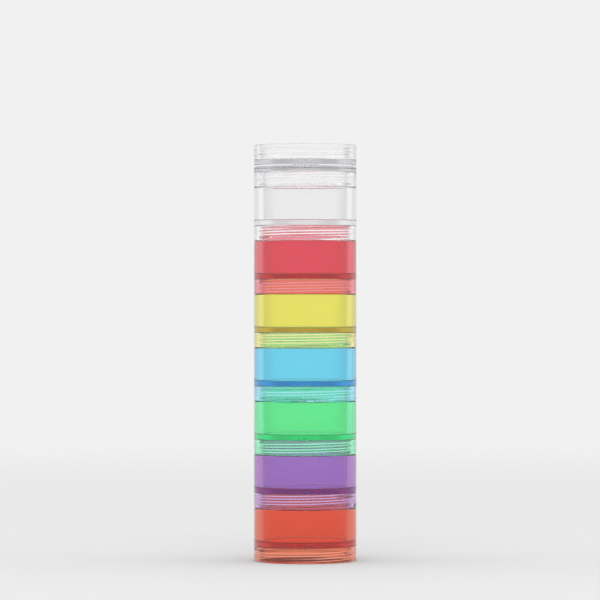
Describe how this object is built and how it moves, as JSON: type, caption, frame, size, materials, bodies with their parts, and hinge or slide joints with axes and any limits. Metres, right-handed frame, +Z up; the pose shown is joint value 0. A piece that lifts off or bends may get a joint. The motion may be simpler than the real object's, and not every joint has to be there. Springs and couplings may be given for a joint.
{
  "type": "pill organizer",
  "caption": "Column of round pill compartments in clear and tinted plastic that screw into one another, closed by a screw lid, with a spare lid lying on top.",
  "frame": {"origin": "middle of the ring at the foot of the column, on the surface that it stands on", "axes": "+Z up along the column's axis, from the foot to the spare lid; X and Y are across it and alike"},
  "size_m": [0.038, 0.038, 0.154],
  "materials": {
    "orange_polystyrene": "see-through orange tint, moulded gloss",
    "purple_polystyrene": "see-through purple tint, moulded gloss",
    "green_polystyrene": "see-through green tint, moulded gloss",
    "blue_polystyrene": "see-through blue tint, moulded gloss",
    "yellow_polystyrene": "see-through yellow tint, moulded gloss",
    "red_polystyrene": "see-through red tint, moulded gloss",
    "clear_polystyrene": "clear moulded gloss"
  },
  "bodies": {
    "orange_compartment": {"orange_compartment": "orange_polystyrene"},
    "purple_compartment": {"purple_compartment": "purple_polystyrene"},
    "green_compartment": {"green_compartment": "green_polystyrene"},
    "blue_compartment": {"blue_compartment": "blue_polystyrene"},
    "yellow_compartment": {"yellow_compartment": "yellow_polystyrene"},
    "red_compartment": {"red_compartment": "red_polystyrene"},
    "clear_compartment": {"clear_compartment": "clear_polystyrene"},
    "lid": {"lid": "clear_polystyrene"},
    "spare_lid": {"spare_lid": "clear_polystyrene"}
  },
  "joints": [
    {"name": "purple_compartment_lift_off", "type": "slide", "parent": "orange_compartment", "child": "purple_compartment", "axis": [0, 0, 1], "range_m": [0, 0.02]},
    {"name": "green_compartment_lift_off", "type": "slide", "parent": "purple_compartment", "child": "green_compartment", "axis": [0, 0, 1], "range_m": [0, 0.02]},
    {"name": "blue_compartment_lift_off", "type": "slide", "parent": "green_compartment", "child": "blue_compartment", "axis": [0, 0, 1], "range_m": [0, 0.02]},
    {"name": "yellow_compartment_lift_off", "type": "slide", "parent": "blue_compartment", "child": "yellow_compartment", "axis": [0, 0, 1], "range_m": [0, 0.02]},
    {"name": "red_compartment_lift_off", "type": "slide", "parent": "yellow_compartment", "child": "red_compartment", "axis": [0, 0, 1], "range_m": [0, 0.02]},
    {"name": "clear_compartment_lift_off", "type": "slide", "parent": "red_compartment", "child": "clear_compartment", "axis": [0, 0, 1], "range_m": [0, 0.02]},
    {"name": "lid_lift_off", "type": "slide", "parent": "clear_compartment", "child": "lid", "axis": [0, 0, 1], "range_m": [0, 0.02]},
    {"name": "spare_lid_lift_off", "type": "slide", "parent": "lid", "child": "spare_lid", "axis": [0, 0, 1], "range_m": [0, 0.02]}
  ]
}
